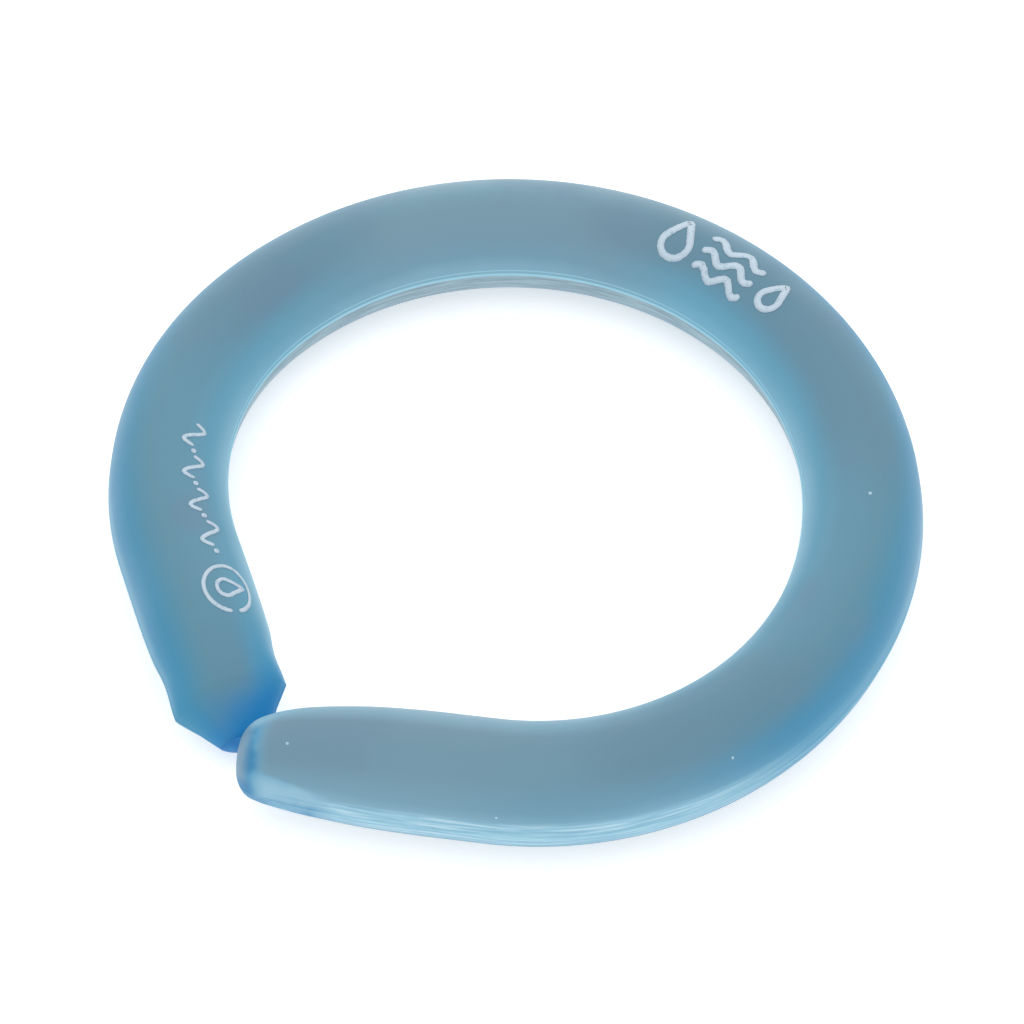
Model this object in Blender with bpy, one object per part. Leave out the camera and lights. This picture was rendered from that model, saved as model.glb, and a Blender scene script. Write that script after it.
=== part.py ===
"""Cooling neck ring, lying flat on its side.

A tube of frosted blue TPU is bent into a C and filled with coolant, which shows grey through the sleeve.
The two arms meet at the wearer's front, which faces -Y. The arm on the +X side ends in a rounded tip.
The arm on the -X side narrows to a chamfered tail, where the ring was filled and welded shut.
The mid-line of the tube is a back arc, a side arc on each side and two straight arms.
"""

import math

import bpy
import bmesh
from mathutils import Vector

# Lengths are in metres and angles in degrees.

# The tube, across and upright, over its parting line bead and its resting face.
TUBE_WIDTH = 0.0250
TUBE_HEIGHT = 0.0243
SLEEVE_WALL = 0.0012

# The bead that the mould leaves along the inner and the outer side.
BEAD_WIDTH = 0.0012
BEAD_HEIGHT = 0.00025

# The mid-line. Each side of the ring has its own bend into its arm.
BACK_RADIUS = 0.0750
ROUND_SIDE_RADIUS = 0.0680
ROUND_SIDE_START = 84.0
ROUND_ARM_SPLAY = 32.5
TAIL_SIDE_RADIUS = 0.0655
TAIL_SIDE_START = 90.0
TAIL_ARM_SPLAY = 30.5

# Where the arms end, measured from the middle plane of the ring. The rounded tip reaches just past it.
ROUND_TIP_FROM_MIDDLE = 0.0009
TAIL_MOUTH_FROM_MIDDLE = 0.0037

# The rounded tip narrows over this length and leans outwards by this much.
ROUND_TAPER_LENGTH = 0.0400
ROUND_TIP_LEAN = 0.0013

# The tail narrows over this length and leans inwards by this much.
TAIL_TAPER_LENGTH = 0.0380
TAIL_LEAN = 0.0009

# The filling mouth at the end of the tail, which droops to this height above the surface, and its weld.
MOUTH_WIDTH = 0.0100
MOUTH_HEIGHT = 0.0050
MOUTH_LIFT = 0.0026
WELD_CAP_THICKNESS = 0.0012
WELD_CAP_WIDTH = 0.0056
WELD_CAP_HEIGHT = 0.0042
WELD_PLUG_LENGTH = 0.0030

# The clearance between the pieces, and how far the coolant stops short of the rounded tip and the weld.
FIT_GAP = 0.0003
COOLANT_TIP_GAP = 0.0040
COOLANT_WELD_GAP = 0.0007

# How finely the tube is divided, along and around. The counts around are multiples of four.
STATION_STEP = 0.0080
SLEEVE_SIDES = 24
CAVITY_SIDES = 20
COOLANT_SIDES = 16
WELD_SIDES = 12
SHARP_ANGLE = 40.0

# Shares of ROUND_TAPER_LENGTH from the tip, of the tube's width and height, and of ROUND_TIP_LEAN.
ROUND_TIP_ROWS = (
    # along, size, lean
    (0.0000, 0.000, 1.00),
    (0.0030, 0.190, 1.00),
    (0.0125, 0.360, 1.00),
    (0.0325, 0.495, 1.00),
    (0.0550, 0.580, 1.00),
    (0.0875, 0.650, 0.90),
    (0.1300, 0.705, 0.75),
    (0.1750, 0.750, 0.60),
    (0.3000, 0.840, 0.30),
    (0.4750, 0.915, 0.15),
    (0.7000, 0.975, 0.05),
    (1.0000, 1.000, 0.00),
)

# Shares of TAIL_TAPER_LENGTH from the mouth, of the step from the mouth's size to the tube's size, of
# TAIL_LEAN and of the mouth's droop. The outline turns a corner where the chamfers begin.
TAIL_ROWS = (
    # along, width, height, lean, droop
    (0.000, 0.00, 0.00, 1.00, 1.00),
    (0.115, 0.43, 0.16, 0.75, 0.72),
    (0.215, 0.88, 0.34, 0.50, 0.50),
    (0.245, 0.88, 0.40, 0.40, 0.42),
    (0.380, 0.85, 0.62, 0.25, 0.24),
    (0.540, 0.95, 0.83, 0.10, 0.08),
    (0.750, 0.99, 0.97, 0.00, 0.00),
    (1.000, 1.00, 1.00, 0.00, 0.00),
)


class Arm:
    """One half of the ring, from the middle of its back to the end of its arm. side is +1 or -1 in X."""

    def __init__(self, side, start, radius, splay, end_from_middle):
        self.side = side
        self.back_sweep = math.radians(start)
        self.bend_sweep = math.pi - math.radians(splay) - self.back_sweep
        self.bend_radius = radius
        self.back_length = BACK_RADIUS * self.back_sweep
        self.bend_length = radius * self.bend_sweep
        corner, heading = self.walk(self.back_length + self.bend_length)
        self.straight_length = (corner.x - end_from_middle) / -heading.x
        self.length = self.back_length + self.bend_length + self.straight_length

    def walk(self, distance):
        """The mid-line's point and direction on the +X side, at a distance from the middle of the back."""
        turn = min(distance, self.back_length) / BACK_RADIUS
        heading = turned(turn)
        point = BACK_RADIUS * outwards(heading)
        rest = distance - self.back_length
        if rest > 0.0:
            centre = point - self.bend_radius * outwards(heading)
            turn += min(rest, self.bend_length) / self.bend_radius
            heading = turned(turn)
            point = centre + self.bend_radius * outwards(heading)
            rest -= self.bend_length
        if rest > 0.0:
            point = point + rest * heading
        return point, heading

    def frame(self, distance):
        """The mid-line's point and its outward direction, on the arm's own side."""
        point, heading = self.walk(distance)
        outward = outwards(heading)
        return (
            Vector((self.side * point.x, point.y, 0.0)),
            Vector((self.side * outward.x, outward.y, 0.0)),
        )


class Station:
    """One section of the tube: its place along an arm, its half sizes, its mid height and its sideways lean."""

    def __init__(self, arm, from_end, half_width, half_height, middle, lean):
        self.arm = arm
        self.from_end = from_end
        self.half_width = half_width
        self.half_height = half_height
        self.middle = middle
        self.lean = lean

    def shrunk(self, shift, by_width, by_height):
        """The same section, further from the arm's end and smaller."""
        return Station(
            self.arm,
            self.from_end + shift,
            self.half_width - by_width,
            self.half_height - by_height,
            self.middle,
            self.lean,
        )

    def blended(self, other, share):
        """The section between this one and another."""
        return Station(
            self.arm,
            self.from_end + share * (other.from_end - self.from_end),
            self.half_width + share * (other.half_width - self.half_width),
            self.half_height + share * (other.half_height - self.half_height),
            self.middle + share * (other.middle - self.middle),
            self.lean + share * (other.lean - self.lean),
        )


def turned(angle):
    """The travelling direction after a right turn by this angle from +X."""
    return Vector((math.cos(angle), -math.sin(angle), 0.0))


def outwards(heading):
    """The side of a travelling direction that faces away from the neck."""
    return Vector((-heading.y, heading.x, 0.0))


def round_tip_stations(arm):
    rows = []
    for along, size, lean in ROUND_TIP_ROWS:
        rows.append(Station(
            arm,
            along * ROUND_TAPER_LENGTH,
            size * TUBE_WIDTH / 2,
            size * TUBE_HEIGHT / 2,
            TUBE_HEIGHT / 2,
            lean * ROUND_TIP_LEAN,
        ))
    return rows


def tail_stations(arm):
    rows = []
    mouth_droop = TUBE_HEIGHT / 2 - MOUTH_LIFT - MOUTH_HEIGHT / 2
    for along, width, height, lean, droop in TAIL_ROWS:
        rows.append(Station(
            arm,
            along * TAIL_TAPER_LENGTH,
            (MOUTH_WIDTH + width * (TUBE_WIDTH - MOUTH_WIDTH)) / 2,
            (MOUTH_HEIGHT + height * (TUBE_HEIGHT - MOUTH_HEIGHT)) / 2,
            TUBE_HEIGHT / 2 - droop * mouth_droop,
            -lean * TAIL_LEAN,
        ))
    return rows


def plain_stations(arm, taper_length):
    """The evenly spaced sections of full size, from an arm's taper back to the middle of the ring's back."""
    run = arm.length - taper_length
    count = max(4, round(run / STATION_STEP))
    rows = []
    for index in range(1, count):
        rows.append(Station(
            arm,
            taper_length + run * index / count,
            TUBE_WIDTH / 2,
            TUBE_HEIGHT / 2,
            TUBE_HEIGHT / 2,
            0.0,
        ))
    return rows


def moved_in(rows, depth):
    """The same end, set in by a depth square to its tapering surface. An end that is open stays in its plane."""
    inner = []
    for index, row in enumerate(rows):
        before = rows[max(index - 1, 0)]
        after = rows[min(index + 1, len(rows) - 1)]
        run = after.from_end - before.from_end
        width_slope = math.atan2(after.half_width - before.half_width, run)
        height_slope = math.atan2(after.half_height - before.half_height, run)
        if row.half_width == 0.0:
            inner.append(row.shrunk(depth, 0.0, 0.0))
        elif index == 0:
            inner.append(row.shrunk(0.0, depth, depth))
        else:
            inner.append(row.shrunk(
                depth * math.sin(width_slope),
                depth * math.cos(width_slope),
                depth * math.cos(height_slope),
            ))
    return inner


def cut_back(rows, distance):
    """The same end, cut off square at a distance from the arm's end."""
    kept = [row for row in rows if row.from_end > distance]
    before = rows[len(rows) - len(kept) - 1]
    share = (distance - before.from_end) / (kept[0].from_end - before.from_end)
    return [before.blended(kept[0], share)] + kept


def ring_points(station, sides, bead):
    """The points of one section, from its outer side over its top. Its flat facets lie at its full height."""
    foot, outward = station.arm.frame(station.arm.length - station.from_end)
    facet = math.cos(math.pi / sides)
    rise = station.half_height / facet
    reach = station.half_width / facet
    scale = station.half_width / (TUBE_WIDTH / 2)
    shape = []
    for index in range(sides):
        angle = 2 * math.pi * (index + 0.5) / sides
        shape.append((reach * math.cos(angle), rise * math.sin(angle)))
    if bead:
        half = scale * BEAD_WIDTH / 2
        crown = station.half_width + scale * BEAD_HEIGHT
        outer = [(station.half_width, -half), (crown, 0.0), (station.half_width, half)]
        inner = [(-across, -up) for across, up in outer]
        middle = sides // 2
        shape = outer + shape[:middle] + inner + shape[middle:]
    points = []
    for across, up in shape:
        point = foot + (station.lean + across) * outward
        point.z = station.middle + up
        points.append(point)
    return points


def pole_point(station):
    foot, outward = station.arm.frame(station.arm.length - station.from_end)
    point = foot + station.lean * outward
    point.z = station.middle
    return point


def add_skin(bm, stations, sides, bead=False):
    """A tube's skin through its sections, of which one of no size is a pole. Returns its two end rings."""
    rings = []
    for station in stations:
        if station.half_width == 0.0:
            ring = [bm.verts.new(pole_point(station))]
        else:
            ring = [bm.verts.new(point) for point in ring_points(station, sides, bead)]
        rings.append(ring)
    for previous, ring in zip(rings, rings[1:]):
        for index in range(len(ring)):
            after = (index + 1) % len(ring)
            if len(previous) == 1:
                bm.faces.new((previous[0], ring[index], ring[after]))
            else:
                bm.faces.new((previous[index], ring[index], ring[after], previous[after]))
    return rings[0], rings[-1]


def add_rim(bm, outer, inner):
    """The flat rim between the outer and the inner skin at an open end."""
    edges = []
    for ring in (outer, inner):
        for index, vert in enumerate(ring):
            edges.append(bm.edges.get((vert, ring[(index + 1) % len(ring)])))
    bmesh.ops.triangle_fill(bm, edges=edges, use_beauty=True)


def finish(bm, name, material, collection, parent):
    bmesh.ops.recalc_face_normals(bm, faces=bm.faces)
    mesh = bpy.data.meshes.new(name)
    bm.to_mesh(mesh)
    bm.free()
    mesh.shade_smooth()
    mesh.set_sharp_from_angle(angle=math.radians(SHARP_ANGLE))
    mesh.materials.append(material)
    piece = bpy.data.objects.new(name, mesh)
    piece.parent = parent
    collection.objects.link(piece)
    return piece


def plain_material(name, colour, roughness, transmission, alpha):
    material = bpy.data.materials.new(name)
    material.use_nodes = True
    shader = material.node_tree.nodes["Principled BSDF"]
    shader.inputs["Base Color"].default_value = (*colour, 1.0)
    shader.inputs["Roughness"].default_value = roughness
    shader.inputs["Metallic"].default_value = 0.0
    shader.inputs["Transmission Weight"].default_value = transmission
    shader.inputs["Alpha"].default_value = alpha
    return material


def whole_tube(round_rows, tail_rows, round_arm, tail_arm):
    """All the sections in order, from the rounded tip round the back to the tail."""
    back = Station(round_arm, round_arm.length, TUBE_WIDTH / 2, TUBE_HEIGHT / 2, TUBE_HEIGHT / 2, 0.0)
    inset = TUBE_WIDTH / 2 - round_rows[-1].half_width
    plain = plain_stations(round_arm, round_rows[-1].from_end)
    plain.append(back)
    plain.extend(reversed(plain_stations(tail_arm, tail_rows[-1].from_end)))
    plain = [station.shrunk(0.0, inset, inset) for station in plain]
    return round_rows + plain + list(reversed(tail_rows))


def sleeve_body(round_rows, tail_rows, round_arm, tail_arm):
    """The hollow sleeve: an outer and an inner skin that meet at the rim of the filling mouth."""
    bm = bmesh.new()
    outer = whole_tube(round_rows, tail_rows, round_arm, tail_arm)
    cavity = whole_tube(
        moved_in(round_rows, SLEEVE_WALL),
        moved_in(tail_rows, SLEEVE_WALL),
        round_arm,
        tail_arm,
    )
    outer_rim = add_skin(bm, outer, SLEEVE_SIDES, bead=True)[1]
    inner_rim = add_skin(bm, cavity, CAVITY_SIDES)[1]
    add_rim(bm, outer_rim, inner_rim)
    return bm


def coolant_body(round_rows, tail_rows, round_arm, tail_arm):
    """The coolant, one clearance inside the cavity, with a domed front end and a flat end in the tail."""
    bm = bmesh.new()
    depth = SLEEVE_WALL + FIT_GAP
    round_rows = moved_in(round_rows, depth)
    full = round_rows[-1]
    dome = [row.shrunk(COOLANT_TIP_GAP, 0.0, 0.0) for row in round_rows]
    front = [row for row in dome if row.from_end < full.from_end] + [full]
    tail = cut_back(moved_in(tail_rows, depth), WELD_PLUG_LENGTH + COOLANT_WELD_GAP)
    end = add_skin(bm, whole_tube(front, tail, round_arm, tail_arm), COOLANT_SIDES)[1]
    bm.faces.new(end)
    return bm


def weld_body(tail_rows):
    """The weld: a plug that sits in the mouth, and a cap that carries the tail's chamfers on to its tip."""
    bm = bmesh.new()
    mouth = tail_rows[0]
    plug = SLEEVE_WALL + FIT_GAP
    tip = Station(
        mouth.arm,
        -FIT_GAP - WELD_CAP_THICKNESS,
        WELD_CAP_WIDTH / 2,
        WELD_CAP_HEIGHT / 2,
        mouth.middle,
        mouth.lean,
    )
    sections = (
        mouth.shrunk(WELD_PLUG_LENGTH, plug, plug),
        mouth.shrunk(-FIT_GAP, plug, plug),
        mouth.shrunk(-FIT_GAP, 0.0, 0.0),
        tip,
    )
    for end in add_skin(bm, sections, WELD_SIDES):
        bm.faces.new(end)
    return bm


def middle_of(*bodies):
    """The middle of the box around the bodies, in plan."""
    points = [vert.co for bm in bodies for vert in bm.verts]
    low_x = min(point.x for point in points)
    high_x = max(point.x for point in points)
    low_y = min(point.y for point in points)
    high_y = max(point.y for point in points)
    return Vector(((low_x + high_x) / 2, (low_y + high_y) / 2, 0.0))


def build():
    for item in list(bpy.data.objects):
        bpy.data.objects.remove(item, do_unlink=True)

    collection = bpy.data.collections.new("cooling_neck_ring")
    bpy.context.scene.collection.children.link(collection)

    round_arm = Arm(1, ROUND_SIDE_START, ROUND_SIDE_RADIUS, ROUND_ARM_SPLAY, ROUND_TIP_FROM_MIDDLE)
    tail_arm = Arm(-1, TAIL_SIDE_START, TAIL_SIDE_RADIUS, TAIL_ARM_SPLAY, TAIL_MOUTH_FROM_MIDDLE)
    round_rows = round_tip_stations(round_arm)
    tail_rows = tail_stations(tail_arm)

    sleeve = sleeve_body(round_rows, tail_rows, round_arm, tail_arm)
    weld = weld_body(tail_rows)
    coolant = coolant_body(round_rows, tail_rows, round_arm, tail_arm)

    # The empty carries the ring to the middle of its box, with its resting face at the bottom.
    centre = bpy.data.objects.new("ring_centre", None)
    centre.location = -middle_of(sleeve, weld)
    collection.objects.link(centre)

    frosted = plain_material("frosted_tpu", (0.17, 0.42, 0.56), 0.42, 0.6, 0.75)
    welded = plain_material("welded_tpu", (0.02, 0.24, 0.56), 0.35, 0.3, 1.0)
    fluid = plain_material("coolant", (0.19, 0.30, 0.36), 0.55, 0.0, 1.0)

    finish(sleeve, "outer_sleeve", frosted, collection, centre)
    finish(weld, "filling_mouth_weld", welded, collection, centre)
    finish(coolant, "coolant_core", fluid, collection, centre)


build()
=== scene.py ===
"""Cooling neck ring: a frosted blue TPU tube, bent into a C and filled with coolant, lying on its side.

Lengths are in metres and angles in degrees.
"""

import math

import bmesh
import bpy
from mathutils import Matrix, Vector, noise


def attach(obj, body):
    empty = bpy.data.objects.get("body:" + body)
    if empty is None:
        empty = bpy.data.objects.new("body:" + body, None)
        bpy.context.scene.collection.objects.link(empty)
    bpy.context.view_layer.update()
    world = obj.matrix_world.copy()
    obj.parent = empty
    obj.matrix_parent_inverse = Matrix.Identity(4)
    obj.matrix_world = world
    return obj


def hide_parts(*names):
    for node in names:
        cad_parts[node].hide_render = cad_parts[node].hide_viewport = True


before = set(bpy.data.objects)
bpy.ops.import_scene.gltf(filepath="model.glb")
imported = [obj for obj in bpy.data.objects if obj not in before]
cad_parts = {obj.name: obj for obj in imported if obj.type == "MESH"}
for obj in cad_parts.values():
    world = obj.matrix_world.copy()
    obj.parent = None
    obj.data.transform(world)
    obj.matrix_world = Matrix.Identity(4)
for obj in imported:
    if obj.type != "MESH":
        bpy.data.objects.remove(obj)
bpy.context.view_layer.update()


# ---------------------------------------------------------------------------------------------------------
# The outer sleeve: one soft TPU tube, moulded in two halves, so a thin bead runs along its inner and its
# outer side. One arm ends in a moulded dome. The other is pinched flat into a chamfered tail for filling.
# ---------------------------------------------------------------------------------------------------------
TUBE_WIDTH = 0.0250
TUBE_HEIGHT = 0.0243
BEAD_WIDTH = 0.0012
BEAD_HEIGHT = 0.00025
CENTRE_SHIFT = (0.0000155, 0.0010790)

# The mid-line: a back arc, then a bend and a straight run for each arm.
BACK_RADIUS = 0.0750
ARMS = {
    # side, degrees of back arc, bend radius, splay, where it ends from the middle plane
    "round": (1, 84.0, 0.0680, 32.5, 0.0009),
    "tail": (-1, 90.0, 0.0655, 30.5, 0.0037),
}

ROUND_TAPER_LENGTH = 0.0400
ROUND_TIP_LEAN = 0.0013
ROUND_TIP_ROWS = (
    # along, size, lean, as shares
    (0.0000, 0.000, 1.00),
    (0.0030, 0.190, 1.00),
    (0.0125, 0.360, 1.00),
    (0.0325, 0.495, 1.00),
    (0.0550, 0.580, 1.00),
    (0.0875, 0.650, 0.90),
    (0.1300, 0.705, 0.75),
    (0.1750, 0.750, 0.60),
    (0.3000, 0.840, 0.30),
    (0.4750, 0.915, 0.15),
    (0.7000, 0.975, 0.05),
    (1.0000, 1.000, 0.00),
)

TAIL_TAPER_LENGTH = 0.0380
TAIL_LEAN = 0.0009
MOUTH_WIDTH = 0.0100
MOUTH_HEIGHT = 0.0050
MOUTH_MIDDLE = 0.0051
TAIL_SLANT = 0.0011
TAIL_SLANT_REACH = 0.0170
TAIL_ROWS = (
    # along, width, height, lean, droop, as shares
    (0.000, 0.00, 0.00, 1.00, 1.00),
    (0.115, 0.43, 0.16, 0.75, 0.72),
    (0.215, 0.88, 0.34, 0.50, 0.50),
    (0.245, 0.88, 0.40, 0.40, 0.42),
    (0.380, 0.85, 0.62, 0.25, 0.24),
    (0.540, 0.95, 0.83, 0.10, 0.08),
    (0.750, 0.99, 0.97, 0.00, 0.00),
    (1.000, 1.00, 1.00, 0.00, 0.00),
)

# How closely the skin is divided, and the turn at which a ring starts: underneath, where no one looks.
SKIN_STEP = 0.0016
SKIN_SIDES = 72
BEAD_ANGLES = (-4.2, -2.8, -1.4, 0.0, 1.4, 2.8, 4.2)


def turned(angle):
    return Vector((math.cos(angle), -math.sin(angle), 0.0))


def outwards(heading):
    return Vector((-heading.y, heading.x, 0.0))


def walk(arm, distance):
    """The mid-line's point and heading, as if on the +X side, at a distance from the middle of the back."""
    _, start, radius, splay, _ = ARMS[arm]
    back = BACK_RADIUS * math.radians(start)
    bend = radius * (math.pi - math.radians(splay) - math.radians(start))
    turn = min(distance, back) / BACK_RADIUS
    heading = turned(turn)
    point = BACK_RADIUS * outwards(heading)
    if distance > back:
        centre = point - radius * outwards(heading)
        turn += min(distance - back, bend) / radius
        heading = turned(turn)
        point = centre + radius * outwards(heading)
    if distance > back + bend:
        point = point + (distance - back - bend) * heading
    return point, heading


def arm_length(arm):
    """From the middle of the back to the arm's end."""
    _, start, radius, splay, end = ARMS[arm]
    curved = BACK_RADIUS * math.radians(start)
    curved += radius * (math.pi - math.radians(splay) - math.radians(start))
    corner, heading = walk(arm, curved)
    return curved + (corner.x - end) / -heading.x


def mid_line(arm, distance):
    """The mid-line's point and outward direction on the arm's own side."""
    side = ARMS[arm][0]
    point, heading = walk(arm, distance)
    outward = outwards(heading)
    point = Vector((side * point.x + CENTRE_SHIFT[0], point.y + CENTRE_SHIFT[1], 0.0))
    return point, Vector((side * outward.x, outward.y, 0.0))


def read_rows(rows, along, column, smooth_from=0.0):
    """A value between a table's rows: a smooth curve that never overshoots, straight before smooth_from."""
    last = len(rows) - 1
    if along >= rows[last][0]:
        return rows[last][column]
    index = max(k for k in range(last) if rows[k][0] <= along)

    def slope(k):
        return (rows[k + 1][column] - rows[k][column]) / (rows[k + 1][0] - rows[k][0])

    def tangent(k):
        if k == 0:
            return slope(0)
        if k == last:
            return 0.0
        before, after = slope(k - 1), slope(k)
        return 0.0 if before * after <= 0.0 else 2 * before * after / (before + after)

    run = rows[index + 1][0] - rows[index][0]
    share = (along - rows[index][0]) / run
    low, high = rows[index][column], rows[index + 1][column]
    if rows[index + 1][0] <= smooth_from:
        return low + share * (high - low)
    first, second = tangent(index) * run, tangent(index + 1) * run
    return (
        low * (1 + 2 * share) * (1 - share) ** 2
        + first * share * (1 - share) ** 2
        + high * share ** 2 * (3 - 2 * share)
        + second * share ** 2 * (share - 1)
    )


def tube_section(arm, from_end):
    """Half width, half height, mid height and sideways lean of the tube, at a distance from the arm's end."""
    if arm == "round":
        along = from_end / ROUND_TAPER_LENGTH
        size = read_rows(ROUND_TIP_ROWS, along, 1)
        lean = read_rows(ROUND_TIP_ROWS, along, 2) * ROUND_TIP_LEAN
        return size * TUBE_WIDTH / 2, size * TUBE_HEIGHT / 2, TUBE_HEIGHT / 2, lean
    along = from_end / TAIL_TAPER_LENGTH
    width, height, lean, droop = (read_rows(TAIL_ROWS, along, column, 0.245) for column in (1, 2, 3, 4))
    return (
        (MOUTH_WIDTH + width * (TUBE_WIDTH - MOUTH_WIDTH)) / 2,
        (MOUTH_HEIGHT + height * (TUBE_HEIGHT - MOUTH_HEIGHT)) / 2,
        TUBE_HEIGHT / 2 - droop * (TUBE_HEIGHT / 2 - MOUTH_MIDDLE),
        -lean * TAIL_LEAN,
    )


def tube_point(arm, from_end, angle, lift=0.0, bead=True):
    """A point on the sleeve. The angle turns from the outer side, 0, over the top, 90, to the inner side."""
    half_width, half_height, middle, lean = tube_section(arm, from_end)
    foot, outward = mid_line(arm, arm_length(arm) - from_end)
    turn = math.radians(angle)
    from_bead = abs((angle + 90.0) % 180.0 - 90.0)
    up = half_height * math.sin(turn)
    crown = 0.0
    if bead:
        scale = half_width / (TUBE_WIDTH / 2)
        half_bead = scale * BEAD_WIDTH / 2
        if from_bead < 20.0 and abs(up) < half_bead:
            crown = BEAD_HEIGHT * scale * (0.5 + 0.5 * math.cos(math.pi * up / half_bead))
    reach = half_width + crown + lift
    point = foot + (lean + reach * math.cos(turn)) * outward
    if arm == "tail" and from_end < TAIL_SLANT_REACH:
        share = math.sin(math.pi * from_end / TAIL_SLANT_REACH) * max(0.0, math.cos(turn))
        point += TAIL_SLANT * share * Vector((-outward.y, outward.x, 0.0))
    point.z = middle + (half_height + lift) * math.sin(turn)
    return point


def section_angles():
    """Angles round a section from underneath, closer together on the two beads."""
    spread = [-90.0 + 360.0 * index / SKIN_SIDES for index in range(SKIN_SIDES)]
    clear = [angle for angle in spread if abs((angle + 90.0) % 180.0 - 90.0) > 5.0]
    beads = [side + angle for side in (0.0, 180.0) for angle in BEAD_ANGLES]
    return sorted(clear + beads)


def tube_stations():
    """Sections from the rounded tip round the back to the mouth, closer together where the ends taper."""
    tip = [0.00002, 0.00006, 0.00012, 0.0002, 0.00032, 0.0005, 0.00075, 0.0011, 0.0016, 0.0023, 0.0031, 0.004]
    round_run = arm_length("round") - tip[-1]
    count = round(round_run / SKIN_STEP)
    rows = [("round", distance) for distance in tip]
    rows += [("round", tip[-1] + round_run * (index + 1) / count) for index in range(count)]
    edge_rows = {row[0] * TAIL_TAPER_LENGTH for row in TAIL_ROWS[1:4]}
    rows_between = {0.0011, 0.0022, 0.0033, 0.0056, 0.0070, 0.0087}
    tail = sorted({0.0} | edge_rows | rows_between)
    tail_run = arm_length("tail") - 0.0100
    count = round(tail_run / SKIN_STEP)
    rows += [("tail", 0.0100 + tail_run * (count - index - 1) / count) for index in range(count)]
    rows += [("tail", distance) for distance in reversed(tail)]
    return rows


def drawn_tube(bm, rings, closed_end):
    """Draws a ring of edges through the sections, from a pole to the last one. Returns the last ring."""
    first = rings[0]
    circle = bmesh.ops.create_circle(bm, cap_ends=False, segments=len(first), radius=0.001)["verts"]
    ring = list(circle)
    for vert, point in zip(ring, first):
        vert.co = point
    pole = bm.faces.new(ring)
    bmesh.ops.poke(bm, faces=[pole])
    for points in rings[1:]:
        edges = [bm.edges.get((ring[k], ring[(k + 1) % len(ring)])) for k in range(len(ring))]
        made = bmesh.ops.extrude_edge_only(bm, edges=edges)["geom"]
        fresh = {item for item in made if isinstance(item, bmesh.types.BMVert)}
        follow = []
        for vert in ring:
            follow.append(next(
                edge.other_vert(vert) for edge in vert.link_edges if edge.other_vert(vert) in fresh
            ))
        ring = follow
        for vert, point in zip(ring, points):
            vert.co = point
    if closed_end:
        face = bm.faces.new(ring)
        bmesh.ops.poke(bm, faces=[face])
    return ring


def kept_piece(bm, name, material, nodes=()):
    """The finished piece, smooth, on the ring's only body."""
    bmesh.ops.recalc_face_normals(bm, faces=bm.faces)
    mesh = bpy.data.meshes.new(name)
    bm.to_mesh(mesh)
    bm.free()
    mesh.shade_smooth()
    mesh.materials.append(material)
    piece = bpy.data.objects.new(name, mesh)
    bpy.context.scene.collection.objects.link(piece)
    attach(piece, "root")
    if nodes:
        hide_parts(*nodes)
    return piece


def linear(red, green, blue):
    """A colour of the finish, given on a 0 to 255 scale, as linear light."""
    return tuple(
        (value / 255 / 12.92) if value <= 10 else ((value / 255 + 0.055) / 1.055) ** 2.4
        for value in (red, green, blue)
    ) + (1.0,)


class Recipe:
    """A material under construction: short ways to add its nodes."""

    def __init__(self, name):
        self.material = bpy.data.materials.new(name)
        self.material.use_nodes = True
        self.tree = self.material.node_tree
        self.shader = self.tree.nodes["Principled BSDF"]

    def node(self, kind, **values):
        made = self.tree.nodes.new(kind)
        for key, value in values.items():
            setattr(made, key, value)
        return made

    def link(self, source, target):
        self.tree.links.new(source, target)

    def feed(self, socket, value):
        if hasattr(value, "links"):
            self.link(value, socket)
        else:
            socket.default_value = value

    def maths(self, operation, first, second=0.0, clamp=False):
        made = self.node("ShaderNodeMath", operation=operation, use_clamp=clamp)
        self.feed(made.inputs[0], first)
        self.feed(made.inputs[1], second)
        return made.outputs[0]

    def between(self, value, low, high):
        """0 below low, 1 above high, eased between them."""
        made = self.node("ShaderNodeMapRange", interpolation_type="SMOOTHSTEP")
        self.feed(made.inputs["Value"], value)
        made.inputs["From Min"].default_value = low
        made.inputs["From Max"].default_value = high
        return made.outputs["Result"]

    def mixed(self, share, first, second):
        made = self.node("ShaderNodeMix", data_type="RGBA")
        self.feed(made.inputs[0], share)
        self.feed(made.inputs[6], first)
        self.feed(made.inputs[7], second)
        return made.outputs[2]

    def attribute(self, name):
        made = self.node("ShaderNodeAttribute", attribute_name=name)
        return made

    def grain(self, vector, scale, detail=2.0, roughness=0.5):
        made = self.node("ShaderNodeTexNoise")
        self.feed(made.inputs["Vector"], vector)
        made.inputs["Scale"].default_value = scale
        made.inputs["Detail"].default_value = detail
        made.inputs["Roughness"].default_value = roughness
        return made.outputs["Fac"]


def ramped(recipe, value, stops):
    """A colour picked from the given stops, as value runs from 0 to 1."""
    ramp = recipe.node("ShaderNodeValToRGB")
    recipe.link(value, ramp.inputs[0])
    band = ramp.color_ramp
    while len(band.elements) < len(stops):
        band.elements.new(0.5)
    for element, (place, colour) in zip(band.elements, stops):
        element.position = place
        element.color = linear(*colour)
    return ramp.outputs[0]


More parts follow.
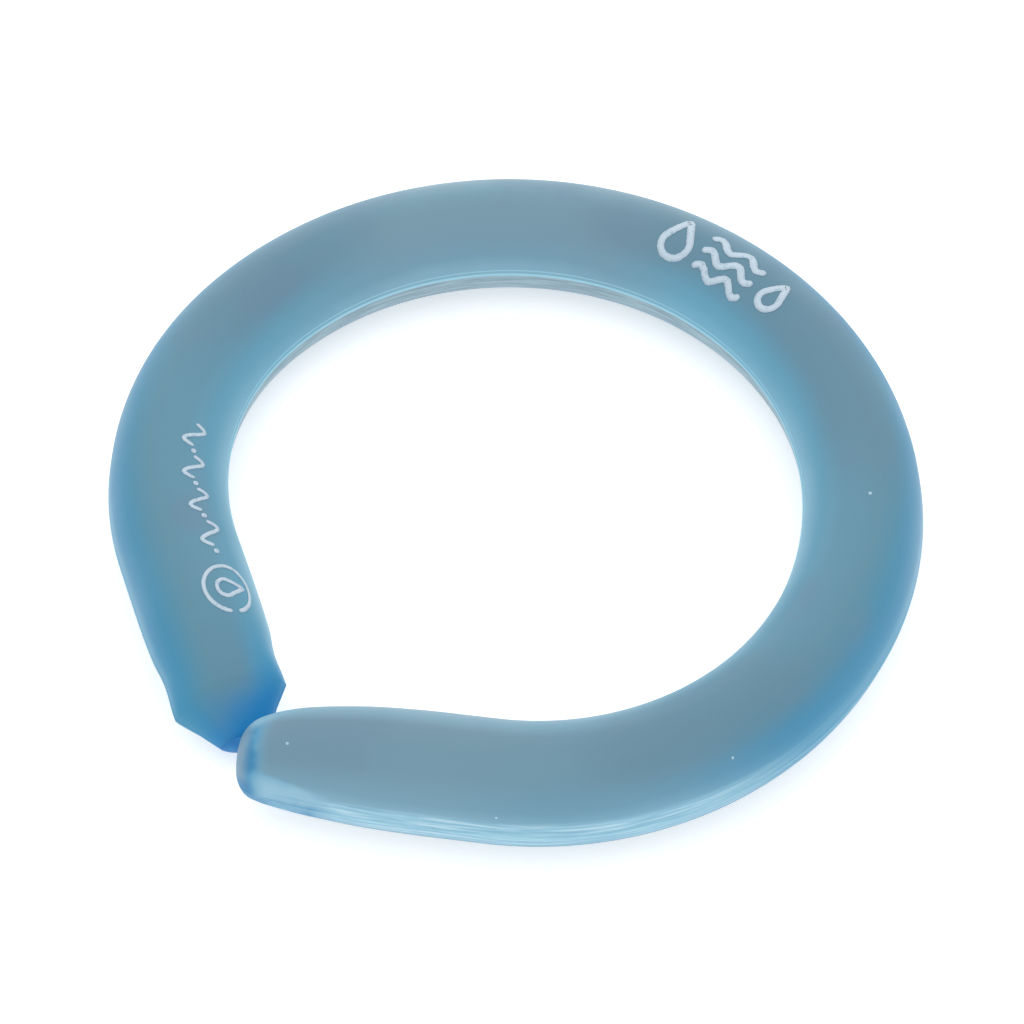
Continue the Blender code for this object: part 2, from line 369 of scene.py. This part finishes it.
def frosted_skin():
    """Frosted blue TPU over grey coolant: grey where the coolant lies behind it, bluer where it is thick."""
    recipe = Recipe("frosted_tpu_skin")
    section = recipe.attribute("section")
    parts = recipe.node("ShaderNodeSeparateXYZ")
    recipe.link(section.outputs["Vector"], parts.inputs[0])
    outer, upper, along = parts.outputs
    ends = recipe.attribute("ends")
    reach = recipe.node("ShaderNodeSeparateXYZ")
    recipe.link(ends.outputs["Vector"], reach.inputs[0])
    from_tip, from_mouth, _ = reach.outputs
    place = recipe.node("ShaderNodeTexCoord").outputs["Object"]

    # Fine streaks, drawn out along the tube, for the painted light below the coolant's edge, and slow clouds
    # in the coolant.
    stretched = recipe.node("ShaderNodeCombineXYZ")
    recipe.link(recipe.maths("MULTIPLY", outer, 3.0), stretched.inputs[0])
    recipe.link(recipe.maths("MULTIPLY", upper, 3.0), stretched.inputs[1])
    recipe.link(recipe.maths("MULTIPLY", along, 14.0), stretched.inputs[2])
    streak = recipe.grain(stretched.outputs[0], 6.0, 3.0, 0.55)
    cloud = recipe.grain(place, 38.0, 3.0)
    patch = recipe.grain(place, 210.0, 1.0)

    # Around the section: grey over the coolant, blue towards the outer side, cyan towards the inner one.
    # The sides of the ring are deeper in colour than its back and its front.
    turned_map = recipe.node("ShaderNodeMapping")
    turned_map.inputs["Rotation"].default_value = (0.0, 0.0, math.radians(-27.0))
    turned_map.inputs["Location"].default_value = (0.016, 0.0, 0.0)
    recipe.link(place, turned_map.inputs["Vector"])
    swing = recipe.node("ShaderNodeSeparateXYZ")
    recipe.link(turned_map.outputs[0], swing.inputs[0])
    at_back = swing.outputs[1]
    at_sides = recipe.between(recipe.maths("ABSOLUTE", swing.outputs[0]), 0.020, 0.048)
    on_tail_arm = recipe.between(recipe.maths("MULTIPLY", along, -1.0), 0.120, 0.160)
    at_sides = recipe.maths("MAXIMUM", at_sides, on_tail_arm)
    front = recipe.between(recipe.maths("MULTIPLY", at_back, -1.0), 0.045, 0.075)
    front = recipe.maths("MULTIPLY", front, recipe.maths("SUBTRACT", 1.0, on_tail_arm))
    across = recipe.maths("ADD", recipe.maths("MULTIPLY", outer, 0.5), 0.5)
    wander = recipe.maths("MULTIPLY", recipe.maths("SUBTRACT", cloud, 0.5), 0.10)
    across = recipe.maths("ADD", across, wander)
    deep_rims = recipe.maths("MULTIPLY", at_sides,
                             recipe.maths("SUBTRACT", 1.0, recipe.maths("MULTIPLY", front, 0.8)))
    colour = recipe.mixed(deep_rims, ramped(recipe, across, BACK_STOPS), ramped(recipe, across, SIDE_STOPS))
    inner = recipe.maths("MULTIPLY", outer, -1.0)
    core = recipe.maths("SUBTRACT", 1.0, recipe.between(recipe.maths("ABSOLUTE", outer), 0.45, 0.85))
    wide_cloud = recipe.grain(place, 17.0, 1.0)
    dusk = recipe.maths("MULTIPLY", recipe.between(at_back, 0.0, 0.035), at_sides)
    bend = recipe.maths("MULTIPLY", recipe.between(along, 0.108, 0.135), recipe.between(along, 0.172, 0.150))
    dusk = recipe.maths("ADD", dusk, bend)
    dusk = recipe.maths("ADD", dusk,
                        recipe.maths("MULTIPLY", recipe.between(wide_cloud, 0.50, 0.62), 0.4), True)
    dusk = recipe.maths("MULTIPLY", dusk, core)
    colour = recipe.mixed(recipe.maths("MULTIPLY", dusk, 0.55), colour, linear(*COOLANT_DUSK))
    lavender = recipe.maths("MULTIPLY", recipe.between(cloud, 0.50, 0.66), core)
    colour = recipe.mixed(recipe.maths("MULTIPLY", lavender, 0.35), colour, linear(*COOLANT_LAVENDER))

    # Painted highlight on the inner shoulder of the front bend, beside the coolant: pale cyan where light
    # from behind the ring would catch it.
    inner_shoulder_highlight = recipe.maths("MULTIPLY", recipe.between(inner, 0.25, 0.62), front)
    colour = recipe.mixed(recipe.maths("MULTIPLY", inner_shoulder_highlight, 0.55), colour, linear(*SHOULDER_HIGHLIGHT_CYAN))

    # The clear wall below the coolant's edge, with painted light: pale and streaked where light from the
    # floor below comes through it.
    edge = recipe.between(outer, 0.93, 0.975)
    under = recipe.between(recipe.maths("MULTIPLY", upper, -1.0), -0.02, 0.05)
    inner_floor_light = recipe.maths("MULTIPLY", under, recipe.between(inner, 0.70, 0.95))
    outer_floor_light = recipe.maths("MULTIPLY", edge,
                              recipe.maths("ADD", recipe.maths("MULTIPLY", front, 0.85), 0.12))
    colour = recipe.mixed(outer_floor_light, colour, ramped(recipe, recipe.between(streak, 0.28, 0.72), FLOOR_LIGHT_BAND_STOPS))
    under_floor_light_tone = recipe.mixed(recipe.between(streak, 0.35, 0.70), linear(*UNDER_LIGHT_DIM), linear(*UNDER_LIGHT_PALE))
    colour = recipe.mixed(recipe.maths("MULTIPLY", inner_floor_light, 0.9), colour, under_floor_light_tone)

    # The mould's bead, with painted highlights: a bright line along the inner side with a hair line above it,
    # and a faint one on the outer side.
    on_bead = recipe.maths("SUBTRACT", 1.0, recipe.between(recipe.maths("ABSOLUTE", upper), 0.012, 0.050))
    above = recipe.maths("ABSOLUTE", recipe.maths("SUBTRACT", upper, 0.092))
    hair_highlight = recipe.maths("SUBTRACT", 1.0, recipe.between(above, 0.008, 0.026))
    is_inner = recipe.between(inner, 0.8, 0.9)
    inner_bead_highlight = recipe.maths("MULTIPLY",
                              recipe.maths("MAXIMUM", on_bead, recipe.maths("MULTIPLY", hair_highlight, 0.55)),
                              is_inner)
    outer_bead_highlight = recipe.maths("MULTIPLY", on_bead, recipe.between(outer, 0.8, 0.9))
    colour = recipe.mixed(recipe.maths("MULTIPLY", inner_bead_highlight, 0.9), colour, linear(*BEAD_HIGHLIGHT_CYAN))
    colour = recipe.mixed(recipe.maths("MULTIPLY", outer_bead_highlight, 0.35), colour, linear(*BEAD_HIGHLIGHT_CYAN))

    # The rounded end, past the coolant's own rounded edge: clear blue wall with painted light and shade
    # refracted in it: a deep patch low on the outer side, a lavender one at the very tip, a pale one on the
    # inner shoulder and a pale, streaked foot.
    edge_reach = recipe.maths("MULTIPLY", recipe.between(outer, 0.72, 0.99), 0.014)
    inner_reach = recipe.maths("MULTIPLY", recipe.between(inner, 0.35, 0.90), 0.0060)
    edge_reach = recipe.maths("ADD", edge_reach, inner_reach)
    past = recipe.maths("SUBTRACT", from_tip, edge_reach)
    uneven = recipe.maths("MULTIPLY", recipe.maths("SUBTRACT", patch, 0.5), 0.003)
    bare_tip = recipe.maths("SUBTRACT", 1.0,
                            recipe.between(recipe.maths("ADD", past, uneven), 0.0030, 0.0086))
    tip = ramped(recipe, recipe.between(patch, 0.3, 0.7), TIP_STOPS)
    # Painted light: the pale, streaked foot of the rounded end.
    foot = recipe.maths("MULTIPLY", recipe.between(outer, 0.70, 0.95),
                        recipe.between(from_tip, 0.0035, 0.0075))
    foot = recipe.maths("MULTIPLY", foot, recipe.between(recipe.maths("ADD", upper, streak), 0.05, 0.90))
    tip = recipe.mixed(recipe.maths("MULTIPLY", foot, 0.75), tip, linear(*TIP_REFRACTED_PALE))
    deep_refraction = recipe.maths("MULTIPLY", recipe.between(outer, 0.55, 0.9),
                        recipe.maths("SUBTRACT", 1.0, recipe.between(from_tip, 0.0025, 0.0055)))
    deep_refraction = recipe.maths("MULTIPLY", deep_refraction, recipe.maths("SUBTRACT", 1.0, recipe.between(upper, 0.30, 0.55)))
    tip = recipe.mixed(deep_refraction, tip, linear(*TIP_REFRACTED_DEEP))
    very_tip = recipe.maths("SUBTRACT", 1.0, recipe.between(from_tip, 0.0016, 0.0042))
    very_tip = recipe.maths("MULTIPLY", very_tip, recipe.between(upper, 0.10, 0.5))
    tip = recipe.mixed(recipe.maths("MULTIPLY", very_tip, 0.85), tip, linear(*TIP_REFRACTED_LAVENDER))
    shoulder_light = recipe.maths("MULTIPLY", recipe.between(inner, 0.15, 0.55),
                            recipe.between(from_tip, 0.0012, 0.0032))
    tip = recipe.mixed(recipe.maths("MULTIPLY", shoulder_light, 0.8), tip, linear(*TIP_REFRACTED_PALE))
    colour = recipe.mixed(bare_tip, colour, tip)

    # The tail: blue along both sides and at the mouth, where the two walls meet.
    tail_reach = recipe.maths("SUBTRACT", 1.0, recipe.between(from_mouth, 0.005, 0.024))
    outer_tail = recipe.maths("MULTIPLY", tail_reach, recipe.between(outer, 0.45, 0.97))
    inner_tail = recipe.maths("MULTIPLY", tail_reach, recipe.between(inner, 0.25, 0.85))
    colour = recipe.mixed(recipe.maths("MULTIPLY", outer_tail, 0.85), colour, linear(*TAIL_TEAL))
    colour = recipe.mixed(recipe.maths("MULTIPLY", inner_tail, 0.95), colour, linear(*TAIL_BLUE))
    drift = recipe.maths("MULTIPLY", recipe.maths("SUBTRACT", cloud, 0.5), 0.012)
    slant = recipe.maths("MULTIPLY", inner, -0.0028)
    near_mouth = recipe.maths("ADD", recipe.maths("ADD", from_mouth, drift), slant)
    bare_mouth = recipe.maths("SUBTRACT", 1.0, recipe.between(near_mouth, 0.0000, 0.0105))
    colour = recipe.mixed(bare_mouth, colour, linear(*TAIL_DEEP))
    recipe.link(colour, recipe.shader.inputs["Base Color"])

    # Frosting: a fine grain, and slow waves where the soft wall gives.
    fine = recipe.grain(place, 2600.0, 2.0)
    slow = recipe.grain(place, 60.0, 2.0)
    height = recipe.maths("ADD", recipe.maths("MULTIPLY", fine, 0.04), recipe.maths("MULTIPLY", slow, 0.7))
    bump = recipe.node("ShaderNodeBump")
    bump.inputs["Strength"].default_value = 0.25
    bump.inputs["Distance"].default_value = 0.0010
    recipe.link(height, bump.inputs["Height"])
    recipe.link(bump.outputs[0], recipe.shader.inputs["Normal"])
    glossy = recipe.maths("MULTIPLY", recipe.between(cloud, 0.3, 0.7), 0.12)
    recipe.link(recipe.maths("ADD", glossy, 0.40), recipe.shader.inputs["Roughness"])
    recipe.shader.inputs["IOR"].default_value = 1.45
    recipe.shader.inputs["Coat Weight"].default_value = 0.05
    recipe.shader.inputs["Coat Roughness"].default_value = 0.25
    recipe.shader.inputs["Sheen Weight"].default_value = 0.05
    recipe.shader.inputs["Sheen Roughness"].default_value = 0.35
    recipe.shader.inputs["Sheen Tint"].default_value = linear(*SHEEN_CYAN)
    return recipe.material


# The finish's colours, from the inner side, 0, over the top, 0.5, to the outer side, 1.
BACK_STOPS = (
    (0.000, (124, 168, 188)),
    (0.040, (114, 155, 176)),
    (0.140, (113, 149, 168)),
    (0.400, (110, 145, 162)),
    (0.620, (109, 149, 167)),
    (0.800, (111, 150, 169)),
    (0.930, (110, 152, 173)),
    (0.985, (122, 166, 188)),
    (1.000, (140, 186, 206)),
)
SIDE_STOPS = (
    (0.000, (106, 168, 194)),
    (0.050, (100, 160, 186)),
    (0.140, (92, 151, 177)),
    (0.300, (92, 141, 164)),
    (0.600, (90, 137, 158)),
    (0.740, (76, 136, 162)),
    (0.850, (60, 134, 168)),
    (0.950, (58, 134, 172)),
    (1.000, (66, 142, 178)),
)
# Painted light: the pale, streaked band along the outer side below the coolant's edge.
FLOOR_LIGHT_BAND_STOPS = ((0.0, (116, 168, 194)), (0.5, (140, 188, 210)), (1.0, (176, 210, 224)))
COOLANT_LIGHT = (121, 154, 173)
COOLANT_DUSK = (94, 128, 146)
COOLANT_LAVENDER = (104, 130, 154)
# Painted light: the pale band below the inner side's edge, in two tones.
UNDER_LIGHT_PALE = (160, 186, 196)
UNDER_LIGHT_DIM = (128, 152, 166)
# Painted highlight on the inner shoulder of the front bend.
SHOULDER_HIGHLIGHT_CYAN = (140, 188, 208)
# Painted highlight along the mould's bead.
BEAD_HIGHLIGHT_CYAN = (160, 212, 230)
SHEEN_CYAN = (150, 225, 255)
TIP_CLEAR = (78, 148, 186)
# The next three are painted light and shade, refracted in the clear rounded tip.
TIP_REFRACTED_DEEP = (48, 126, 172)
TIP_REFRACTED_PALE = (150, 190, 208)
TIP_REFRACTED_LAVENDER = (112, 144, 166)
TAIL_TEAL = (56, 138, 176)
TAIL_BLUE = (46, 140, 184)
TAIL_DEEP = (12, 127, 190)
# Patches of painted refraction over the bare rounded tip.
TIP_STOPS = ((0.0, TIP_REFRACTED_DEEP), (0.35, TIP_CLEAR), (1.0, (104, 162, 192)))

skin = bmesh.new()
stations = tube_stations()
angles = section_angles()
rings = [[tube_point(arm, from_end, angle) for angle in angles] for arm, from_end in stations]
drawn_tube(skin, rings, closed_end=True)
sleeve = kept_piece(skin, "sleeve_skin", frosted_skin(), ["outer_sleeve"])

# Each point of the skin keeps its place round the section and along the tube, for the finish to follow.
lengths = {arm: arm_length(arm) for arm in ARMS}
section = sleeve.data.attributes.new("section", "FLOAT_VECTOR", "POINT")
ends = sleeve.data.attributes.new("ends", "FLOAT_VECTOR", "POINT")
nearest = {}
for arm, from_end in stations:
    for angle in angles:
        key = tuple(round(value, 7) for value in tube_point(arm, from_end, angle))
        nearest[key] = (arm, from_end, angle)
for index, vert in enumerate(sleeve.data.vertices):
    found = nearest.get(tuple(round(value, 7) for value in vert.co))
    if found is None:
        arm = "round" if vert.co.x > 0.0 and (vert.co.z > 0.0100) else "tail"
        found = (arm, 0.0, 0.0)
    arm, from_end, angle = found
    turn = math.radians(angle)
    signed = (lengths[arm] - from_end) * ARMS[arm][0]
    section.data[index].vector = (math.cos(turn), math.sin(turn), signed)
    ends.data[index].vector = (lengths["round"] - signed, lengths["tail"] + signed, 0.0)


# ---------------------------------------------------------------------------------------------------------
# The weld that closes the filling mouth: a plug of the same TPU, melted into the tail's end as a small cap.
# ---------------------------------------------------------------------------------------------------------
WELD_GAP = 0.0003
WELD_CAP_THICKNESS = 0.0012
WELD_CAP_WIDTH = 0.0056
WELD_CAP_HEIGHT = 0.0042
WELD_BLUE = (12, 112, 178)


def welded_blue():
    recipe = Recipe("welded_tpu_blue")
    place = recipe.node("ShaderNodeTexCoord").outputs["Object"]
    cloud = recipe.grain(place, 500.0, 2.0)
    colour = recipe.mixed(recipe.between(cloud, 0.3, 0.7), linear(*WELD_BLUE), linear(*TAIL_DEEP))
    recipe.link(colour, recipe.shader.inputs["Base Color"])
    recipe.link(recipe.maths("ADD", recipe.maths("MULTIPLY", cloud, 0.2), 0.35),
                recipe.shader.inputs["Roughness"])
    return recipe.material


def weld_ring(from_end, width, height):
    half_width, half_height, middle, lean = tube_section("tail", 0.0)
    foot, outward = mid_line("tail", arm_length("tail") - from_end)
    points = []
    for index in range(32):
        turn = 2 * math.pi * index / 32
        point = foot + (lean + width / 2 * math.cos(turn)) * outward
        point.z = middle + height / 2 * math.sin(turn)
        points.append(point)
    return points


weld = bmesh.new()
cap_end = -WELD_GAP - WELD_CAP_THICKNESS
drawn_tube(weld, [
    weld_ring(cap_end, WELD_CAP_WIDTH * 0.62, WELD_CAP_HEIGHT * 0.62),
    weld_ring(cap_end + 0.00008, WELD_CAP_WIDTH * 0.80, WELD_CAP_HEIGHT * 0.80),
    weld_ring(cap_end + 0.00025, WELD_CAP_WIDTH * 0.93, WELD_CAP_HEIGHT * 0.93),
    weld_ring(cap_end + 0.0005, WELD_CAP_WIDTH * 1.08, WELD_CAP_HEIGHT * 1.02),
    weld_ring(cap_end + 0.0009, MOUTH_WIDTH * 0.82, MOUTH_HEIGHT * 0.94),
    weld_ring(-WELD_GAP * 0.5, MOUTH_WIDTH * 0.97, MOUTH_HEIGHT * 0.99),
    weld_ring(0.00005, MOUTH_WIDTH, MOUTH_HEIGHT),
], closed_end=True)
kept_piece(weld, "mouth_weld", welded_blue(), ["filling_mouth_weld"])


# ---------------------------------------------------------------------------------------------------------
# The coolant: a cloudy liquid that fills the sleeve, one thin gap inside its wall. It stops short of both
# ends. Its own surface lies behind the opaque skin, and the grey that shows there is painted on the skin.
# ---------------------------------------------------------------------------------------------------------
COOLANT_DEPTH = 0.0015
COOLANT_ENDS = {"round": 0.0056, "tail": 0.0040}


def cloudy_coolant():
    recipe = Recipe("cloudy_coolant")
    place = recipe.node("ShaderNodeTexCoord").outputs["Object"]
    cloud = recipe.grain(place, 60.0, 4.0)
    colour = recipe.mixed(recipe.between(cloud, 0.3, 0.7), linear(*COOLANT_DUSK), linear(*COOLANT_LIGHT))
    recipe.link(colour, recipe.shader.inputs["Base Color"])
    recipe.shader.inputs["Roughness"].default_value = 0.5
    return recipe.material


def coolant_ring(arm, from_end, share=1.0):
    half_width, half_height, middle, lean = tube_section(arm, from_end)
    foot, outward = mid_line(arm, arm_length(arm) - from_end)
    points = []
    for index in range(48):
        turn = 2 * math.pi * (index / 48 - 0.25)
        point = foot + (lean + share * (half_width - COOLANT_DEPTH) * math.cos(turn)) * outward
        point.z = middle + share * (half_height - COOLANT_DEPTH) * math.sin(turn)
        points.append(point)
    return points


coolant = bmesh.new()
dome = [(0.0, 0.25), (0.0004, 0.5), (0.0012, 0.72), (0.0026, 0.88), (0.0045, 0.97)]
coolant_rings = [coolant_ring("round", COOLANT_ENDS["round"] + step, share) for step, share in dome]
coolant_rings += [
    coolant_ring(arm, from_end) for arm, from_end in stations[::3]
    if from_end > COOLANT_ENDS[arm] + (0.006 if arm == "round" else 0.0004)
]
drawn_tube(coolant, coolant_rings, closed_end=True)
kept_piece(coolant, "coolant_filling", cloudy_coolant(), ["coolant_core"])


# ---------------------------------------------------------------------------------------------------------
# The print: a thin white ink on the sleeve in two places, rubbed at its edges and worn through in specks.
# Each mark is a stroke of ink, drawn flat in millimetres and then laid on the tube.
# ---------------------------------------------------------------------------------------------------------
INK_LIFT = 0.00004
INK_THICKNESS = 0.00006
INK_WHITE = (190, 208, 222)
INK_THIN = (150, 180, 200)
INK_STEP = 0.35


def worn_ink():
    recipe = Recipe("worn_white_ink")
    place = recipe.node("ShaderNodeTexCoord").outputs["Object"]
    speck = recipe.grain(place, 1500.0, 3.0, 0.65)
    blotch = recipe.grain(place, 330.0, 2.0)
    thin = recipe.maths("MULTIPLY", recipe.between(speck, 0.50, 0.66), recipe.between(blotch, 0.35, 0.65))
    colour = recipe.mixed(thin, linear(*INK_WHITE), linear(*INK_THIN))
    recipe.link(colour, recipe.shader.inputs["Base Color"])
    recipe.link(recipe.maths("ADD", recipe.maths("MULTIPLY", speck, 0.3), 0.45),
                recipe.shader.inputs["Roughness"])
    bump = recipe.node("ShaderNodeBump")
    bump.inputs["Strength"].default_value = 0.2
    bump.inputs["Distance"].default_value = 0.0001
    recipe.link(speck, bump.inputs["Height"])
    recipe.link(bump.outputs[0], recipe.shader.inputs["Normal"])
    return recipe.material


def evenly(points):
    """The same path in short, even steps."""
    path = []
    for start, end in zip(points, points[1:]):
        span = end - start
        count = max(1, round(span.length / INK_STEP))
        path += [start + span * (k / count) for k in range(count)]
    return path + [points[-1]]


def add_stroke(bm, points, width, closed=False):
    """One stroke of ink: a ribbon drawn along a path, round at its ends and a little uneven at its sides."""
    path = evenly([Vector((x, y, 0.0)) for x, y in points])
    count = len(path)
    ring = None
    first = None
    length = sum((path[k + 1] - path[k]).length for k in range(count - 1))
    gone = 0.0
    for index, point in enumerate(path):
        before = path[index - 1] if index else (path[-2] if closed else point)
        after = path[index + 1] if index < count - 1 else (path[1] if closed else point)
        if index:
            gone += (point - path[index - 1]).length
        ahead = (after - before).normalized()
        across = Vector((-ahead.y, ahead.x, 0.0))
        half = width / 2
        if not closed:
            to_end = min(gone, length - gone)
            if to_end < half:
                half *= math.sqrt(max(0.04, 1 - (1 - to_end / half) ** 2))
        left = half * (1 + 0.22 * noise.noise(point * 2.9 + Vector((0, 0, 3.0))))
        right = half * (1 + 0.22 * noise.noise(point * 2.9 + Vector((0, 0, 9.0))))
        if ring is None:
            ring = [bm.verts.new(point + across * left), bm.verts.new(point - across * right)]
            first = list(ring)
            edge = bm.edges.new(ring)
        elif closed and index == count - 1:
            bmesh.ops.bridge_loops(bm, edges=[edge, bm.edges.get(first)])
        else:
            made = bmesh.ops.extrude_edge_only(bm, edges=[edge])["geom"]
            fresh = [item for item in made if isinstance(item, bmesh.types.BMVert)]
            if fresh[0] not in [link.other_vert(ring[0]) for link in ring[0].link_edges]:
                fresh.reverse()
            ring = fresh
            ring[0].co = point + across * left
            ring[1].co = point - across * right
            edge = bm.edges.get(ring)


def round_path(middle, radius, start=0.0, sweep=360.0, steps=28):
    return [
        (
            middle[0] + radius * math.cos(math.radians(start + sweep * k / steps)),
            middle[1] + radius * math.sin(math.radians(start + sweep * k / steps)),
        )
        for k in range(steps + 1)
    ]


def drop_path(middle, radius, height):
    """A plain water drop, its point upwards."""
    x, y = middle
    bowl = round_path(middle, radius, 145.0, 250.0, 22)
    return bowl + [(x, y + height), bowl[0]]


def wave_path(start, length, rise, waves, steps=12):
    total = waves * steps
    return [
        (start[0] + length * k / total, start[1] + rise * math.sin(2 * math.pi * k / steps))
        for k in range(total + 1)
    ]


def laid_on_tube(bm, at, angle, flip=1):
    """Gives the flat marks their thickness and lays them on the sleeve. at is the signed place along it."""
    made = bmesh.ops.extrude_face_region(bm, geom=bm.faces[:])["geom"]
    for item in made:
        if isinstance(item, bmesh.types.BMVert):
            item.co.z = INK_THICKNESS
    for vert in bm.verts:
        along = at + flip * vert.co.x / 1000
        turn = angle - flip * math.degrees(vert.co.y / 1000 / (TUBE_WIDTH / 2))
        arm = "round" if along >= 0 else "tail"
        vert.co = tube_point(arm, arm_length(arm) - abs(along), turn, INK_LIFT + vert.co.z)


ink = worn_ink()

# On the back: a water drop, three short waves and a smaller drop.
back_marks = bmesh.new()
add_stroke(back_marks, drop_path((-14.6, -1.4), 3.4, 7.6), 1.7, closed=True)
for level in (-4.2, 0.0, 4.2):
    add_stroke(back_marks, wave_path((-8.2, level), 15.0, 1.25, 2), 1.7)
add_stroke(back_marks, drop_path((12.6, -0.6), 2.5, 5.6), 1.6, closed=True)
laid_on_tube(back_marks, 0.0025, 101.0)
kept_piece(back_marks, "back_print", ink)

# On the tail arm: a run of small waves and dots, then a round badge outline with a drop in it.
arm_marks = bmesh.new()
for index in range(4):
    begin = -22.5 + 9.6 * index
    add_stroke(arm_marks, wave_path((begin, 0.0), 6.6, 2.3, 1), 0.95)
    add_stroke(arm_marks, round_path((begin + 8.1, 0.0), 0.35), 0.55, closed=True)
add_stroke(arm_marks, round_path((23.6, 0.0), 5.3, 8.0, 344.0), 0.85)
add_stroke(arm_marks, drop_path((23.6, -0.7), 1.9, 4.4), 0.85, closed=True)
laid_on_tube(arm_marks, -0.1815, 120.0, -1)
kept_piece(arm_marks, "arm_print", ink)


# ---------------------------------------------------------------------------------------------------------
# A few pin-head specks on the sleeve's wall. They stand a hair proud, and their pale colour is a painted
# glint.
# ---------------------------------------------------------------------------------------------------------
# The specks' pale colour: a painted glint.
GLINT_SPECK_PALE = (176, 206, 222)
GLINT_SPECKS = (
    # place along the round arm from the middle of the back, turn round the section, radius
    (0.0740, 88.0, 0.00042),
    (0.1410, 43.0, 0.00032),
    (0.1830, 25.0, 0.00030),
    (0.2250, 76.0, 0.00036),
)


def painted_glint_speck():
    recipe = Recipe("painted_glint_speck")
    place = recipe.node("ShaderNodeTexCoord").outputs["Object"]
    # Painted glint: pale cyan to near white, in random patches.
    tone = recipe.between(recipe.grain(place, 2500.0, 1.0), 0.35, 0.65)
    recipe.link(recipe.mixed(tone, linear(*SHOULDER_HIGHLIGHT_CYAN), linear(*GLINT_SPECK_PALE)),
                recipe.shader.inputs["Base Color"])
    recipe.shader.inputs["Roughness"].default_value = 0.35
    return recipe.material


glint_specks = bmesh.new()
for along, angle, radius in GLINT_SPECKS:
    dome = bmesh.ops.create_icosphere(glint_specks, subdivisions=2, radius=radius)["verts"]
    bmesh.ops.scale(glint_specks, verts=dome, vec=(1.0, 1.0, 0.45))
    spot = tube_point("round", arm_length("round") - along, angle)
    away = (tube_point("round", arm_length("round") - along, angle, 0.001) - spot).normalized()
    bmesh.ops.rotate(glint_specks, verts=dome, matrix=away.to_track_quat("Z", "Y").to_matrix())
    bmesh.ops.translate(glint_specks, verts=dome, vec=spot)
kept_piece(glint_specks, "wall_glint_specks", painted_glint_speck())


# ---------------------------------------------------------------------------------------------------------
# The floor, the light and the camera. None of them is part of the ring.
# ---------------------------------------------------------------------------------------------------------
FLOOR_SIZE = 6.0
VIEW_TARGET = (0.003767, -0.002389, 0.0125)
VIEW_AZIMUTH = 40.4
VIEW_ELEVATION = 53.0
VIEW_DISTANCE = 0.600
VIEW_LENS = 99.73

floor = bmesh.new()
bmesh.ops.create_grid(floor, x_segments=2, y_segments=2, size=FLOOR_SIZE / 2)
floor_mesh = bpy.data.meshes.new("pale_floor")
floor.to_mesh(floor_mesh)
floor.free()
paper = Recipe("pale_paper")
paper.shader.inputs["Base Color"].default_value = (0.78, 0.78, 0.78, 1.0)
paper.shader.inputs["Emission Color"].default_value = (1.0, 1.0, 1.0, 1.0)
paper.shader.inputs["Emission Strength"].default_value = 0.50
paper.shader.inputs["Roughness"].default_value = 0.9
paper.shader.inputs["Specular IOR Level"].default_value = 0.1
floor_mesh.materials.append(paper.material)
floor_piece = bpy.data.objects.new("pale_floor", floor_mesh)
bpy.context.scene.collection.objects.link(floor_piece)

world = bpy.data.worlds.new("studio_white")
world.use_nodes = True
world.node_tree.nodes["Background"].inputs["Color"].default_value = (1.0, 1.0, 1.0, 1.0)
world.node_tree.nodes["Background"].inputs["Strength"].default_value = 0.90
bpy.context.scene.world = world


def softbox(name, place, target, size, power, glossy):
    lamp = bpy.data.lights.new(name, "AREA")
    lamp.shape = "RECTANGLE"
    lamp.size, lamp.size_y = size
    lamp.energy = power
    holder = bpy.data.objects.new(name, lamp)
    holder.location = place
    aim = Vector(target) - Vector(place)
    holder.rotation_euler = aim.to_track_quat("-Z", "Y").to_euler()
    holder.visible_glossy = glossy
    bpy.context.scene.collection.objects.link(holder)


softbox("overhead_softbox", (-0.1, 0.1, 1.2), (0.0, 0.0, 0.0), (1.6, 1.6), 4.0, False)
softbox("back_softbox", (-0.55, 0.65, 0.22), (0.0, 0.0, 0.02), (1.4, 0.45), 1.2, True)

lens = bpy.data.cameras.new("camera")
lens.lens = VIEW_LENS
lens.sensor_width = 36.0
lens.clip_start = 0.01
viewer = bpy.data.objects.new("camera", lens)
azimuth, elevation = math.radians(VIEW_AZIMUTH), math.radians(VIEW_ELEVATION)
back = Vector((
    math.sin(azimuth) * math.cos(elevation),
    -math.cos(azimuth) * math.cos(elevation),
    math.sin(elevation),
))
viewer.location = Vector(VIEW_TARGET) + VIEW_DISTANCE * back
viewer.rotation_euler = back.to_track_quat("Z", "Y").to_euler()
bpy.context.scene.collection.objects.link(viewer)
bpy.context.scene.camera = viewer
bpy.context.scene.view_settings.view_transform = "Standard"
